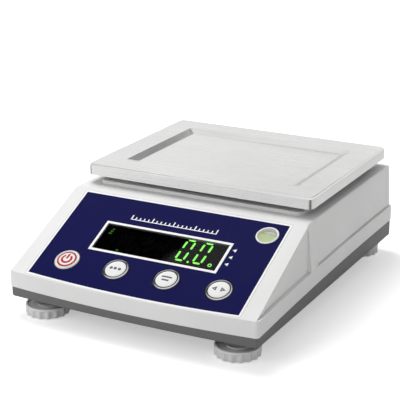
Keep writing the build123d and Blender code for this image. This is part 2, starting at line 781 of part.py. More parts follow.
def make_components():
    """Microcontroller, converter chip, voltage regulator and two capacitors."""
    chips = [
        slab(14, 14, board_z, board_z + 1.6, 0.4, 46, 82),
        slab(9, 6, board_z, board_z + 1.8, 0.3, 66, 80),
        slab(10, 4.6, board_z, board_z + 9.0, 0.3, 50, 98),
    ]
    cans = [
        fillet(rod(r, board_z, board_z + h, x, y).edges().sort_by(Axis.Z)[-1], 0.5)
        for r, h, x, y in ((5.0, 16.0, 43, 110), (4.0, 12.0, 75, 74))
    ]
    return chips + cans


def make_buzzer():
    can = rod(6, board_z, board_z + 9.5, 72, 92)
    return fillet(can.edges().sort_by(Axis.Z)[-1], 0.6) - rod(1.0, board_z + 6, board_z + 20, 72, 92)


headers_at = [(37.0, 44.0), (37.0, 70.0), (58.0, 24.0)]
header_high = 6.0


def make_headers():
    top = board_z + header_high
    small = [slab(5.5, 9, board_z, top, 0.4, x, y) for x, y in headers_at[:2]]
    return small + [slab(22, 6, board_z, top, 0.4, *headers_at[2])]


def make_dc_jack():
    """Barrel power socket: block on the board, round nose through the back wall, centre pin."""
    z = board_z + jack_up
    nose_end = rear_y - 1.0
    body_end = rear_y - inner_inset - 0.2
    body = Pos(jack_x, body_end - 6.0, board_z) * Box(10, 12, 10.6, align=LOW)
    facing = Pos(jack_x, 0, z) * Rot(-90, 0, 0)
    nose = facing * Pos(0, 0, body_end - 1) * Cylinder(jack_nose_radius, nose_end - body_end + 1, align=LOW)
    bore = facing * Pos(0, 0, nose_end - 9.0) * Cylinder(jack_bore_radius, 20, align=LOW)
    pin = facing * Pos(0, 0, nose_end - 9.5) * Cylinder(1.05, 6.0, align=LOW)
    return body + nose - bore + pin


def make_battery():
    case = battery_box(0, floor_z + foam, floor_z + foam + battery_height - 3)
    case = fillet(case.edges().filter_by(Axis.Z), 2.0)
    lid = battery_box(-0.6, floor_z + foam + battery_height - 3, floor_z + foam + battery_height)
    lid = fillet(lid.edges().group_by(Axis.Z)[-1], 0.8)
    return case + lid


def make_battery_foam():
    """Foam pads: one under the battery, one along each side between it and its fence."""
    low = floor_z + foam
    base = battery_box(-4.0, floor_z, low)
    out = (battery_width + foam) / 2
    sides = [
        slab(foam, battery_length - 20, low, low + 16, 0, battery_x + sx * out, battery_y) for sx in (-1, 1)
    ]
    return [base] + sides


terminal_z = floor_z + foam + battery_height
terminal_high = 5.0


def make_terminals():
    y = battery_y + 40
    top = terminal_z + terminal_high
    return [slab(4.8, 0.8, terminal_z, top, 0, battery_x + sx * 14, y) for sx in (-1, 1)]


lead_radius = 1.0
cell_lead_radius = 1.75


def tube(points, radii, radius):
    """Round lead along straight runs joined by tangent arcs."""
    path = FilletPolyline(*points, radius=radii)
    return sweep(Plane(origin=points[0], z_dir=path % 0) * Circle(radius), path=path)


def make_cell_cable():
    """Load-cell lead: out of the beam's side, round, and down on to its header."""
    x, y = headers_at[1]
    z = (cell_z + cell_top_z) / 2
    side = fixed_y - 13.0
    points = [(cell_width / 2, side, z), (x - 7, side, z), (x, y, z - 2), (x, y, board_z + header_high)]
    return tube(points, [4.0, 4.0], cell_lead_radius)


def make_battery_leads():
    """The pair of leads from the battery's blades, over the beam and down on to their header."""
    x, y = headers_at[0]
    z = terminal_z + terminal_high / 2
    back = battery_y + 40
    near = [(battery_x + 14 + 2.5, back, z), (-10, back - 2, z + 1), (20, y + 6, z), (x - 1.2, y - 1, z - 4)]
    far = [(battery_x - 14 + 2.5, back, z), (battery_x + 5, back + 4, z + 0.5), (-10, back + 2, z + 1.5),
           (22, y + 10, z), (x + 1.6, y + 1, z - 5)]
    near.append((x - 1.2, y - 1, board_z + header_high))
    far.append((x + 1.6, y + 1, board_z + header_high))
    return [tube(near, [20.0, 14.0, 4.0], lead_radius), tube(far, [14.0, 20.0, 14.0, 4.0], lead_radius)]


def make_ribbon():
    """Flat ribbon from the display board's underside to its header on the main board."""
    x, y = headers_at[2]
    start = on_panel(x, 46.0, -board_drop - pcb).position
    low_z = board_z + header_high / 2
    run = (start.Z - low_z) * tan(radians(slope_angle))
    points = [(x, start.Y, start.Z), (x, start.Y + run, low_z), (x, y - 3.0, low_z)]
    path = FilletPolyline(*points, radius=6.0)
    return sweep(Plane(origin=points[0], x_dir=(1, 0, 0), z_dir=path % 0) * Rectangle(16, 0.8), path=path)


pieces = {
    "upper_housing": make_upper_housing(),
    "base_tray": make_base_tray(),
    "battery_door": make_battery_door(),
    "battery_door_screw": make_battery_door_screw(),
    "panel_overlay": make_overlay(),
    "display_window": make_window(),
    "display_module": make_display(),
    "display_board": make_display_board(),
    "key_switches": make_switches(),
    "display_board_screws": make_panel_screws(),
    "level_vial_cup": make_vial_cup(),
    "level_vial_liquid": make_vial_liquid(),
    "level_vial_lens": make_vial_lens(),
    "base_plate": make_base_plate(),
    "base_plate_screws": make_plate_screws(),
    "load_cell": make_load_cell(),
    "load_cell_riser": riser(fixed_y, riser_z, cell_z),
    "load_cell_fixed_screws": make_fixed_screws(),
    "overload_stop": make_overload_stop(),
    "load_post": riser(live_y, cell_top_z + flex_gap, support_z),
    "load_post_screws": make_live_screws(),
    "pan_support": make_pan_support(),
    "pan_bumpers": make_bumpers(),
    "weighing_pan": make_pan(),
    "foot_nuts": make_foot_nuts(),
    "main_board": make_main_board(),
    "main_board_screws": make_main_screws(),
    "adc_shield": make_shield(),
    "board_components": make_components(),
    "buzzer": make_buzzer(),
    "board_headers": make_headers(),
    "dc_jack": make_dc_jack(),
    "battery": make_battery(),
    "battery_terminals": make_terminals(),
    "battery_foam": make_battery_foam(),
    "load_cell_cable": make_cell_cable(),
    "battery_leads": make_battery_leads(),
    "display_ribbon": make_ribbon(),
    "housing_screws": make_housing_screws(),
}
for name, (x, s) in zip(("power", "count", "tare", "unit"), key_places()):
    pieces[f"key_{name}"] = on_panel(x, s) * key_cap()
    pieces[f"plunger_{name}"] = on_panel(x, s) * plunger()
for side, x in (("left", -foot_x), ("right", foot_x)):
    for end, y in (("front", foot_front_y), ("rear", foot_rear_y)):
        pieces[f"foot_disc_{end}_{side}"] = make_foot_disc(x, y)
        pieces[f"foot_stud_{end}_{side}"] = make_foot_stud(x, y)
        pieces[f"foot_pad_{end}_{side}"] = rod(pad_radius, 0, 1.5, x, y)

os.makedirs("parts", exist_ok=True)
for name, shape in pieces.items():
    solids = shape if isinstance(shape, list) else [shape]
    flat = [solid for item in solids for solid in item.solids()]
    export_step(flat[0] if len(flat) == 1 else Compound(flat), f"parts/{name}.step")
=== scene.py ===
import json
import math

import bmesh
import bpy
from mathutils import Matrix, Vector


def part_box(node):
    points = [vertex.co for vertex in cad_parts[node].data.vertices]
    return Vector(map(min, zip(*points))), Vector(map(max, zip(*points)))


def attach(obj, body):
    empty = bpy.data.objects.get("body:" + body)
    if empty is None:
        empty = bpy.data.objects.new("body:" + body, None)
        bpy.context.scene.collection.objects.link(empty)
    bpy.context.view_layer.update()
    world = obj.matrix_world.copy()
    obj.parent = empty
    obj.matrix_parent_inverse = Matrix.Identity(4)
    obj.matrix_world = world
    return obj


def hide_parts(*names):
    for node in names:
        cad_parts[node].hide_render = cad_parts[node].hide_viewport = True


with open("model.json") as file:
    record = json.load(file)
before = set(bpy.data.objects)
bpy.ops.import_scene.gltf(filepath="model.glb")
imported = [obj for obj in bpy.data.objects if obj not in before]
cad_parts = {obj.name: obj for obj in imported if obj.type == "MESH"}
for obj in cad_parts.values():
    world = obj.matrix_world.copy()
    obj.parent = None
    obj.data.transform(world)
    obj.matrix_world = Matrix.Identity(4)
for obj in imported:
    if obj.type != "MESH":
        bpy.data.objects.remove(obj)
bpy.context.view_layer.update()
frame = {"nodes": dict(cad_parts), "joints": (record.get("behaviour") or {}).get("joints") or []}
nodes = frame["nodes"]

# ---------------------------------------------------------------- camera
# The scale is seen from above its front right corner, at the operator's side, from just under
# a metre away, so its long edges run together with distance.
camera_azimuth = math.radians(27.62)
camera_elevation = math.radians(19.11)
camera_distance = 0.96992
camera_target = Vector((0.0, 0.00136, 0.05364))

camera_data = bpy.data.cameras.new("camera")
camera_data.sensor_width = 36.0
camera_data.lens = 113.8
camera_data.shift_x = -0.0323
camera_data.shift_y = 0.035
camera_data.clip_start = 0.05
camera = bpy.data.objects.new("camera", camera_data)
bpy.context.scene.collection.objects.link(camera)
towards_camera = Vector(
    (
        math.sin(camera_azimuth) * math.cos(camera_elevation),
        -math.cos(camera_azimuth) * math.cos(camera_elevation),
        math.sin(camera_elevation),
    )
)
camera.location = camera_target + towards_camera * camera_distance
camera.rotation_mode = "QUATERNION"
camera.rotation_quaternion = towards_camera.to_track_quat("Z", "Y")
bpy.context.scene.camera = camera

# ---------------------------------------------------------------- bench and studio light
# A white bench top and a white room. The lamps are large softboxes, so the shadows under the housing
# and the pan are soft. Black cards stand where the steel and the lens need something dark to mirror.
floor_radius = 3.0
floor_colour = (0.80, 0.80, 0.80, 1.0)
floor_lift = 0.44  # added for the camera alone, so that the lit bench reads as white
lift_starts, lift_ends = 0.30, 0.90  # from the middle of the bench, where the lamps' light falls away
floor_drop = 0.0001  # keeps the bench just clear of the pads' soles
room_fill = 0.475
full_white = (1.0, 1.0, 1.0, 1.0)


def empty_tree(tree):
    tree.nodes.clear()
    return tree.nodes, tree.links


def make_floor_finish():
    """Matt white bench that keeps the shadows and reads as white where nothing shades it."""
    finish = bpy.data.materials.new("bench_white")
    finish.use_nodes = True
    parts, links = empty_tree(finish.node_tree)
    path = parts.new("ShaderNodeLightPath")
    matt = parts.new("ShaderNodeBsdfDiffuse")
    matt.inputs["Color"].default_value = floor_colour
    lift = parts.new("ShaderNodeEmission")
    lift.inputs["Color"].default_value = full_white
    place = parts.new("ShaderNodeTexCoord")
    reach = parts.new("ShaderNodeVectorMath")
    reach.operation = "LENGTH"
    fade = parts.new("ShaderNodeMapRange")
    ends = ("From Min", "From Max", "To Min", "To Max")
    for socket, value in zip(ends, (lift_starts, lift_ends, floor_lift, 1.0)):
        fade.inputs[socket].default_value = value
    scale = parts.new("ShaderNodeMath")
    scale.operation = "MULTIPLY"
    links.new(place.outputs["Object"], reach.inputs[0])
    links.new(reach.outputs["Value"], fade.inputs["Value"])
    links.new(fade.outputs[0], scale.inputs[1])
    total = parts.new("ShaderNodeAddShader")
    output = parts.new("ShaderNodeOutputMaterial")
    links.new(path.outputs["Is Camera Ray"], scale.inputs[0])
    links.new(scale.outputs[0], lift.inputs["Strength"])
    links.new(matt.outputs[0], total.inputs[0])
    links.new(lift.outputs[0], total.inputs[1])
    links.new(total.outputs[0], output.inputs["Surface"])
    return finish


def make_floor():
    mesh = bpy.data.meshes.new("bench_top")
    shape = bmesh.new()
    bmesh.ops.create_circle(shape, cap_ends=True, segments=96, radius=floor_radius)
    bmesh.ops.translate(shape, verts=shape.verts, vec=(0.0, 0.0, -floor_drop))
    shape.to_mesh(mesh)
    shape.free()
    floor = bpy.data.objects.new("bench_top", mesh)
    floor.data.materials.append(make_floor_finish())
    bpy.context.scene.collection.objects.link(floor)


def light_room():
    """White room: full white to the camera, to mirrors and through glass, softer on the object."""
    world = bpy.data.worlds.new("white_room")
    bpy.context.scene.world = world
    world.use_nodes = True
    parts, links = empty_tree(world.node_tree)
    path = parts.new("ShaderNodeLightPath")
    seen = parts.new("ShaderNodeMath")
    seen.operation = "MAXIMUM"
    mirrored = parts.new("ShaderNodeMath")
    mirrored.operation = "MAXIMUM"
    level = parts.new("ShaderNodeMapRange")
    level.inputs["To Min"].default_value = room_fill
    level.inputs["To Max"].default_value = 1.0
    sky = parts.new("ShaderNodeBackground")
    sky.inputs["Color"].default_value = full_white
    output = parts.new("ShaderNodeOutputWorld")
    links.new(path.outputs["Is Glossy Ray"], mirrored.inputs[0])
    links.new(path.outputs["Is Transmission Ray"], mirrored.inputs[1])
    links.new(path.outputs["Is Camera Ray"], seen.inputs[0])
    links.new(mirrored.outputs[0], seen.inputs[1])
    links.new(seen.outputs[0], level.inputs["Value"])
    links.new(level.outputs[0], sky.inputs["Strength"])
    links.new(sky.outputs[0], output.inputs["Surface"])


def add_softbox(name, place, aim, side, watts):
    """Square lamp that lights the object but isn't seen in mirrors or through the lens."""
    lamp = bpy.data.lights.new(name, "AREA")
    lamp.shape = "RECTANGLE"
    lamp.size = side
    lamp.size_y = side
    lamp.energy = watts
    box = bpy.data.objects.new(name, lamp)
    box.location = Vector(place)
    box.rotation_mode = "QUATERNION"
    box.rotation_quaternion = (Vector(place) - Vector(aim)).to_track_quat("Z", "Y")
    box.visible_glossy = False
    box.visible_transmission = False
    bpy.context.scene.collection.objects.link(box)


def make_card_finish():
    finish = bpy.data.materials.new("card_black")
    finish.use_nodes = True
    parts, links = empty_tree(finish.node_tree)
    matt = parts.new("ShaderNodeBsdfDiffuse")
    matt.inputs["Color"].default_value = (0.0, 0.0, 0.0, 1.0)
    output = parts.new("ShaderNodeOutputMaterial")
    links.new(matt.outputs[0], output.inputs["Surface"])
    return finish


def add_card(name, corners, finish):
    """Flat black card that only mirrors and the lens see, from its corners in order."""
    mesh = bpy.data.meshes.new(name)
    shape = bmesh.new()
    shape.faces.new([shape.verts.new(corner) for corner in corners])
    shape.to_mesh(mesh)
    shape.free()
    card = bpy.data.objects.new(name, mesh)
    card.data.materials.append(finish)
    card.visible_camera = False
    card.visible_diffuse = False
    card.visible_shadow = False
    bpy.context.scene.collection.objects.link(card)


make_floor()
light_room()
add_softbox("softbox_back", (-0.58, 0.42, 1.45), (0.0, 0.0, 0.05), side=0.8, watts=17.0)
add_softbox("softbox_front", (-0.45, -0.58, 0.34), (0.0, -0.12, 0.04), side=0.4, watts=1.35)
card_black = make_card_finish()
card_height = 1.2
add_card(
    "card_over_panel",
    [
        (-0.94, -0.1, card_height), (-0.406, 0.50, card_height),
        (-1.6, 0.50, card_height), (-1.6, -0.1, card_height),
    ],
    card_black,
)
# Two cards on the bench give the pan's rounded front corners their dark streaks.
card_lift = 0.0004
for name, left, right, front, back in (
    ("card_left", -0.50, -0.30, -0.10, 0.03), ("card_right", 0.22, 0.42, -0.27, -0.08),
):
    add_card(
        name,
        [
            (left, front, card_lift), (right, front, card_lift),
            (right, back, card_lift), (left, back, card_lift),
        ],
        card_black,
    )
# Two more behind the scale are what the slopes of the pan's dish mirror.
card_y = 1.0
for name, left, right, low, high in (
    ("card_high", -0.50, 0.30, 0.62, 0.86), ("card_low", -0.95, -0.30, 0.0, 0.17),
):
    add_card(
        name,
        [(left, card_y, low), (right, card_y, low), (right, card_y, high), (left, card_y, high)],
        card_black,
    )

# ---------------------------------------------------------------- upper housing
# Injection-moulded white ABS shell with a fine spark-eroded grain. The belt, the drafted walls over it,
# the sloped panel frame and the plinth under the pan are one moulding.
housing_white = (0.80, 0.80, 0.795, 1.0)
grain_pitch = 0.0005


def start_finish(name, colour, rough):
    """A surface finish with its shader and object coordinates, ready for its own detail."""
    finish = bpy.data.materials.new(name)
    finish.use_nodes = True
    finish.diffuse_color = colour
    parts = finish.node_tree.nodes
    links = finish.node_tree.links
    shader = parts["Principled BSDF"]
    shader.inputs["Base Color"].default_value = colour
    shader.inputs["Roughness"].default_value = rough
    place = parts.new("ShaderNodeTexCoord")
    return finish, parts, links, shader, place.outputs["Object"]


def add_noise(parts, links, place, size, detail=2.0, stretch=(1.0, 1.0, 1.0)):
    """Noise with features of the given size in metres, drawn out along each axis by stretch."""
    mapping = parts.new("ShaderNodeMapping")
    mapping.inputs["Scale"].default_value = tuple(1.0 / (size * s) for s in stretch)
    noise = parts.new("ShaderNodeTexNoise")
    noise.inputs["Scale"].default_value = 1.0
    noise.inputs["Detail"].default_value = detail
    links.new(place, mapping.inputs["Vector"])
    links.new(mapping.outputs[0], noise.inputs["Vector"])
    return noise.outputs["Fac"]


def vary(parts, links, fac, low, high):
    """Turns a 0 to 1 pattern into values from low to high."""
    spread = parts.new("ShaderNodeMapRange")
    spread.inputs["From Min"].default_value = 0.3
    spread.inputs["From Max"].default_value = 0.7
    spread.inputs["To Min"].default_value = low
    spread.inputs["To Max"].default_value = high
    links.new(fac, spread.inputs["Value"])
    return spread.outputs[0]


def tint(parts, links, fac, first, second):
    """Colour that goes from first to second as the pattern rises."""
    mix = parts.new("ShaderNodeMix")
    mix.data_type = "RGBA"
    mix.inputs["A"].default_value = first
    mix.inputs["B"].default_value = second
    links.new(fac, mix.inputs["Factor"])
    return mix.outputs["Result"]


def add_bump(parts, links, shader, fac, strength, depth):
    bump = parts.new("ShaderNodeBump")
    bump.inputs["Strength"].default_value = strength
    bump.inputs["Distance"].default_value = depth
    links.new(fac, bump.inputs["Height"])
    links.new(bump.outputs[0], shader.inputs["Normal"])
    return bump


def shade(colour, amount):
    """The same colour, lighter or darker by amount."""
    return tuple(min(1.0, c * amount) for c in colour[:3]) + (1.0,)


def mottle_colour(parts, links, shader, fac, colour, dark, pale):
    """Lets a surface's colour wander between a darker and a paler shade of itself."""
    spread = vary(parts, links, fac, 0.0, 1.0)
    wander = tint(parts, links, spread, shade(colour, dark), shade(colour, pale))
    links.new(wander, shader.inputs["Base Color"])


def make_moulded_plastic(name, colour, rough, grain, grain_depth):
    """Moulded plastic: fine grain, slight flow marks in colour, and polish that varies by touch."""
    finish, parts, links, shader, place = start_finish(name, colour, rough)
    flow = add_noise(parts, links, place, 0.045, 3.0)
    mottle_colour(parts, links, shader, flow, colour, 0.97, 1.02)
    touch = add_noise(parts, links, place, 0.02, 4.0)
    links.new(vary(parts, links, touch, rough - 0.05, rough + 0.05), shader.inputs["Roughness"])
    spark = add_noise(parts, links, place, grain, 2.0)
    add_bump(parts, links, shader, spark, 0.25, grain_depth)
    shader.inputs["IOR"].default_value = 1.5
    return finish


def dress(node, finish):
    """Gives a construction node its finish."""
    mesh = nodes[node].data
    mesh.materials.clear()
    mesh.materials.append(finish)


dress("upper_housing", make_moulded_plastic("white_abs", housing_white, 0.45, grain_pitch, 0.00003))

# ---------------------------------------------------------------- base tray and battery door
# Grey moulded ABS tray under the housing, with a coarser grain. It carries the foot bosses, and the
# battery door lies flush in its floor under one coin-slotted screw.
tray_grey = (0.132, 0.132, 0.132, 1.0)
grey_abs = make_moulded_plastic("grey_abs", tray_grey, 0.5, grain_pitch * 1.4, 0.00004)
dress("base_tray", grey_abs)
dress("battery_door", grey_abs)


def make_metal(name, colour, rough, streak_along, streak_size=0.00035, streak_length=60.0, strength=0.15):
    """Machined or brushed metal with fine streaks along one axis."""
    finish, parts, links, shader, place = start_finish(name, colour, rough)
    shader.inputs["Metallic"].default_value = 1.0
    stretch = tuple(streak_length if axis == streak_along else 1.0 for axis in "xyz")
    streaks = add_noise(parts, links, place, streak_size, 3.0, stretch)
    links.new(vary(parts, links, streaks, rough - 0.06, rough + 0.08), shader.inputs["Roughness"])
    cloud = add_noise(parts, links, place, 0.03, 3.0)
    mottle_colour(parts, links, shader, cloud, colour, 0.95, 1.03)
    add_bump(parts, links, shader, streaks, strength, 0.00001)
    return finish


zinc_grey = (0.70, 0.71, 0.72, 1.0)
zinc_plate = make_metal("zinc_plate", zinc_grey, 0.28, "x", 0.0004, 4.0)
dress("battery_door_screw", zinc_plate)
dress("housing_screws", zinc_plate)

# ---------------------------------------------------------------- levelling feet
# Four moulded foot discs with broad flutes for the fingers, each pressed on a zinc-plated M8 stud that
# turns in a brass nut in the tray, over a rubber pad that stands still on the bench.
foot_white = (0.76, 0.76, 0.755, 1.0)
rubber_black = (0.035, 0.035, 0.036, 1.0)
brass_yellow = (0.70, 0.53, 0.26, 1.0)
foot_plastic = make_moulded_plastic("foot_plastic", foot_white, 0.22, grain_pitch, 0.00001)
black_rubber = make_moulded_plastic("black_rubber", rubber_black, 0.75, 0.0008, 0.00006)
brass_nut = make_metal("brass_nut", brass_yellow, 0.3, "z", 0.0004, 3.0)


def spin_profile(shape, points, steps=64):
    """Spins a half section about its axis, and closes the poles."""
    verts = [shape.verts.new((r, 0.0, z)) for r, z in points]
    edges = [shape.edges.new(pair) for pair in zip(verts, verts[1:])]
    bmesh.ops.spin(
        shape, geom=verts + edges, axis=(0.0, 0.0, 1.0), cent=(0.0, 0.0, 0.0), steps=steps,
        angle=math.radians(360.0), use_merge=True,
    )
    bmesh.ops.remove_doubles(shape, verts=shape.verts, dist=1e-7)


def soften(shape, sharp_angle=35.0):
    """Smooth shading, with creases kept where faces meet at more than the angle."""
    limit = math.radians(sharp_angle)
    for face in shape.faces:
        face.smooth = True
    for edge in shape.edges:
        edge.smooth = len(edge.link_faces) == 2 and edge.calc_face_angle(0.0) < limit


def finish_piece(name, shape, finishes, body, place=None, replaced=()):
    """Turns a bmesh into a finished piece that rides on its body."""
    if place is not None:
        bmesh.ops.transform(shape, matrix=place, verts=shape.verts)
    bmesh.ops.recalc_face_normals(shape, faces=shape.faces)
    soften(shape)
    mesh = bpy.data.meshes.new(name)
    shape.to_mesh(mesh)
    shape.free()
    for finish in finishes:
        mesh.materials.append(finish)
    piece = bpy.data.objects.new(name, mesh)
    bpy.context.scene.collection.objects.link(piece)
    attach(piece, body)
    if replaced:
        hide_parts(*replaced)
    return piece


foot_radius = 0.0163
foot_rim_inner = 0.0145
foot_hub = 0.0080
stud_radius = 0.0040
pad_recess = 0.0135
foot_low, foot_high = 0.0005, 0.0079
foot_step = 0.0002  # the hub and the rim's inner edge stand this far under the foot's top
hollow_floor = 0.0010  # the ring-shaped hollow between them, from the foot's top
recess_deep = 0.0011  # where the rubber pad goes in
foot_flutes = 16
flute_depth = 0.0013
flute_sharpness = 2.5  # a higher number makes narrower ridges between wider hollows
flute_crease = 0.0002
flute_top = 0.0064  # the flutes stop here, under a plain rim
steps_a_flute = 12


def make_foot(end, side):
    """Foot disc spun from its half section, then pressed in between the ridges of its rim."""
    shape = bmesh.new()
    spin_profile(
        shape,
        [
            (stud_radius, foot_high - foot_step), (foot_hub, foot_high - foot_step),
            (foot_hub, foot_high - hollow_floor), (foot_rim_inner, foot_high - hollow_floor),
            (foot_rim_inner, foot_high - foot_step),
            (foot_rim_inner + 0.0003, foot_high), (foot_radius - 0.0007, foot_high),
            (foot_radius - 0.0002, foot_high - 0.0003), (foot_radius, foot_high - 0.0008),
            (foot_radius, flute_top + flute_crease), (foot_radius, flute_top - flute_crease),
            (foot_radius, (foot_low + flute_top) / 2), (foot_radius, foot_low + 0.0003),
            (foot_radius - 0.0003, foot_low), (pad_recess, foot_low), (pad_recess, foot_low + recess_deep),
            (stud_radius, foot_low + recess_deep), (stud_radius, foot_high - foot_step),
        ],
        steps=foot_flutes * steps_a_flute,
    )
    for v in shape.verts:
        radius = math.hypot(v.co.x, v.co.y)
        if radius > foot_rim_inner + 0.001 and v.co.z < flute_top:
            turn = foot_flutes / 2 * math.atan2(v.co.y, v.co.x)
            ridge = abs(math.sin(turn)) ** flute_sharpness
            pressed = 1.0 - flute_depth * (1.0 - ridge) / radius
            v.co.x *= pressed
            v.co.y *= pressed
    low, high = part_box(f"foot_disc_{end}_{side}")
    place = Matrix.Translation(((low[0] + high[0]) / 2, (low[1] + high[1]) / 2, 0.0))
    body = f"foot_{end}_{side}"
    disc = f"foot_disc_{end}_{side}"
    finish_piece(f"{body}_disc", shape, [foot_plastic], body, place, [disc])


for end in ("front", "rear"):
    for side in ("left", "right"):
        make_foot(end, side)
        dress(f"foot_stud_{end}_{side}", zinc_plate)
        dress(f"foot_pad_{end}_{side}", black_rubber)
dress("foot_nuts", brass_nut)

# ---------------------------------------------------------------- control panel film
# Printed polyester film let into the slope: navy with a white border, a graduated rule over the display
# and three small pointers beside it, all screen printed. It is satin, so it mirrors very little.
overlay_up = 0.0925  # top edge of the film, up the slope from the lip
overlay_half = 0.0860
border_width = 0.0015
overlay_low = 0.0008
overlay_sag = 0.0032  # how far the film's lower edge bows forward
navy = (0.0020, 0.0020, 0.060, 1.0)
print_white = (0.93, 0.93, 0.93, 1.0)
ink_thick = 0.00006

press = next(Vector(j["axis"]) for j in frame["joints"] if j["name"] == "key_power_press")
panel_out = -press.normalized()
panel_along = Vector((0.0, panel_out.z, -panel_out.y))
film_points = [v.co for v in nodes["panel_overlay"].data.vertices]
panel_face = max(p.dot(panel_out) for p in film_points)
panel_start = max(p.dot(panel_along) for p in film_points) - overlay_up
panel_origin = panel_along * panel_start + panel_out * panel_face
panel_tilt = math.atan2(panel_along.z, panel_along.y)
panel = Matrix.Translation(panel_origin) @ Matrix.Rotation(panel_tilt, 4, "X")


def panel_coordinates(parts, links, place):
    """Coordinates across the panel (X), up its slope (Y) and out of its face (Z)."""
    mapping = parts.new("ShaderNodeMapping")
    mapping.vector_type = "TEXTURE"
    mapping.inputs["Location"].default_value = panel_origin
    mapping.inputs["Rotation"].default_value = (panel_tilt, 0.0, 0.0)
    links.new(place, mapping.inputs["Vector"])
    split = parts.new("ShaderNodeSeparateXYZ")
    links.new(mapping.outputs[0], split.inputs[0])
    return mapping.outputs[0], split.outputs


def calculate(parts, links, operation, first, second=None):
    step = parts.new("ShaderNodeMath")
    step.operation = operation
    for socket, value in zip(step.inputs, (first, second)):
        if isinstance(value, float):
            socket.default_value = value
        elif value is not None:
            links.new(value, socket)
    return step.outputs[0]


def make_overlay_film():
    """Navy inside, white from the border outwards; the lower border follows the film's bowed edge."""
    finish, parts, links, shader, place = start_finish("overlay_film", navy, 0.42)
    flat, axes = panel_coordinates(parts, links, place)
    across = calculate(parts, links, "ABSOLUTE", axes[0])
    sides = calculate(parts, links, "LESS_THAN", across, overlay_half - border_width)
    top = calculate(parts, links, "LESS_THAN", axes[1], overlay_up - border_width)
    bow_radius = (overlay_half**2 + overlay_sag**2) / (2 * overlay_sag)
    reach = parts.new("ShaderNodeVectorMath")
    reach.operation = "DISTANCE"
    reach.inputs[1].default_value = (0.0, overlay_low - overlay_sag + bow_radius, 0.0)
    links.new(flat, reach.inputs[0])
    bottom = calculate(parts, links, "LESS_THAN", reach.outputs["Value"], bow_radius - border_width)
    inside = calculate(parts, links, "MULTIPLY", calculate(parts, links, "MULTIPLY", sides, top), bottom)
    links.new(tint(parts, links, inside, print_white, navy), shader.inputs["Base Color"])
    texture = add_noise(parts, links, place, 0.0003, 2.0)
    add_bump(parts, links, shader, texture, 0.2, 0.000008)
    wiped = add_noise(parts, links, place, 0.02, 3.0)
    links.new(vary(parts, links, wiped, 0.38, 0.46), shader.inputs["Roughness"])
    shader.inputs["Specular IOR Level"].default_value = 0.1
    return finish


def make_ink(name, colour, rough=0.5):
    """Screen-printed ink: a flat colour with a slightly uneven sheen."""
    finish, parts, links, shader, place = start_finish(name, colour, rough)
    cloud = add_noise(parts, links, place, 0.004, 3.0)
    mottle_colour(parts, links, shader, cloud, colour, 0.96, 1.03)
    links.new(vary(parts, links, cloud, rough - 0.05, rough + 0.05), shader.inputs["Roughness"])
    return finish


def add_bar(shape, x, up, width, height, low, high, slant=0.0):
    """Thin block lying on the panel, its top edge pushed sideways by slant."""
    made = bmesh.ops.create_cube(shape, size=1.0)
    bmesh.ops.scale(shape, verts=made["verts"], vec=(width, height, high - low))
    bmesh.ops.translate(shape, verts=made["verts"], vec=(x, up, (low + high) / 2))
    for v in made["verts"]:
        v.co.x += slant * (v.co.y - up) / height
    return made["verts"]


overlay_film = make_overlay_film()
ink_white = make_ink("ink_white", print_white)
dress("panel_overlay", overlay_film)

rule_up = 0.0712
rule_pitch = 0.0035
rule_divisions = 20
short_tick = 0.0022
long_tick = 0.0040
tick_width = 0.0009
rule_line = 0.0007
shape = bmesh.new()
for tick in range(rule_divisions + 1):
    tall = long_tick if tick % 5 == 0 else short_tick
    x = (tick - rule_divisions / 2) * rule_pitch
    add_bar(shape, x, rule_up + tall / 2, tick_width, tall, 0.0, ink_thick)
rule_long = rule_divisions * rule_pitch + tick_width
add_bar(shape, 0.0, rule_up - rule_line / 2, rule_long, rule_line, 0.0, ink_thick)
finish_piece("graduated_rule_print", shape, [ink_white], "housing", panel)

pointer_x = 0.0560
pointer_ups = (0.0585, 0.0515, 0.0445)
pointer_size = 0.0018
shape = bmesh.new()
for up in pointer_ups:
    made = bmesh.ops.create_cone(
        shape, cap_ends=True, segments=3, radius1=pointer_size, radius2=pointer_size, depth=ink_thick,
    )
    quarter_turn = Matrix.Rotation(math.radians(90.0), 4, "Z")
    turned = Matrix.Translation((pointer_x, up, ink_thick / 2)) @ quarter_turn
    bmesh.ops.transform(shape, matrix=turned, verts=made["verts"])
finish_piece("display_pointer_prints", shape, [ink_white], "housing", panel)

# ---------------------------------------------------------------- display
# Smoked acrylic window with a white border printed round it, over a black LED module. Two of its six
# seven-segment digits are lit, with the point between them; the unlit ones barely show.
window_x, window_up = 0.0, 0.0497
window_half = (0.0521, 0.0153)
window_border = 0.0020
module_drop = 0.0030  # panel face to the module's face
digit_height = 0.0204  # between the middles of the top and bottom segments
digit_width = 0.0064
digit_pitch = 0.0140
digit_up = 0.0526
last_digit_x = 0.0330
digit_count = 6
lit_digits = 2
segment_width = 0.0014
flat_segment = 0.0056
upper_segment = (0.0051, 0.0070)  # how far its middle is above the digit's, and its length
lower_segment = (-0.0053, 0.0074)
digit_slant = 0.0006
segment_proud = 0.00025
segment_low, segment_high = -module_drop, -module_drop + segment_proud
smoke = (0.22, 0.21, 0.22, 1.0)
lit_green = (0.22, 1.0, 0.10, 1.0)
lit_strength = 6.0


def make_smoked_acrylic():
    """Polished smoked acrylic: dark right through, with the faintest wipe marks in its gloss."""
    finish, parts, links, shader, place = start_finish("smoked_lens", smoke, 0.03)
    shader.inputs["Transmission Weight"].default_value = 1.0
    shader.inputs["IOR"].default_value = 1.22
    wiped = add_noise(parts, links, place, 0.012, 3.0)
    links.new(vary(parts, links, wiped, 0.0, 0.05), shader.inputs["Roughness"])
    return finish


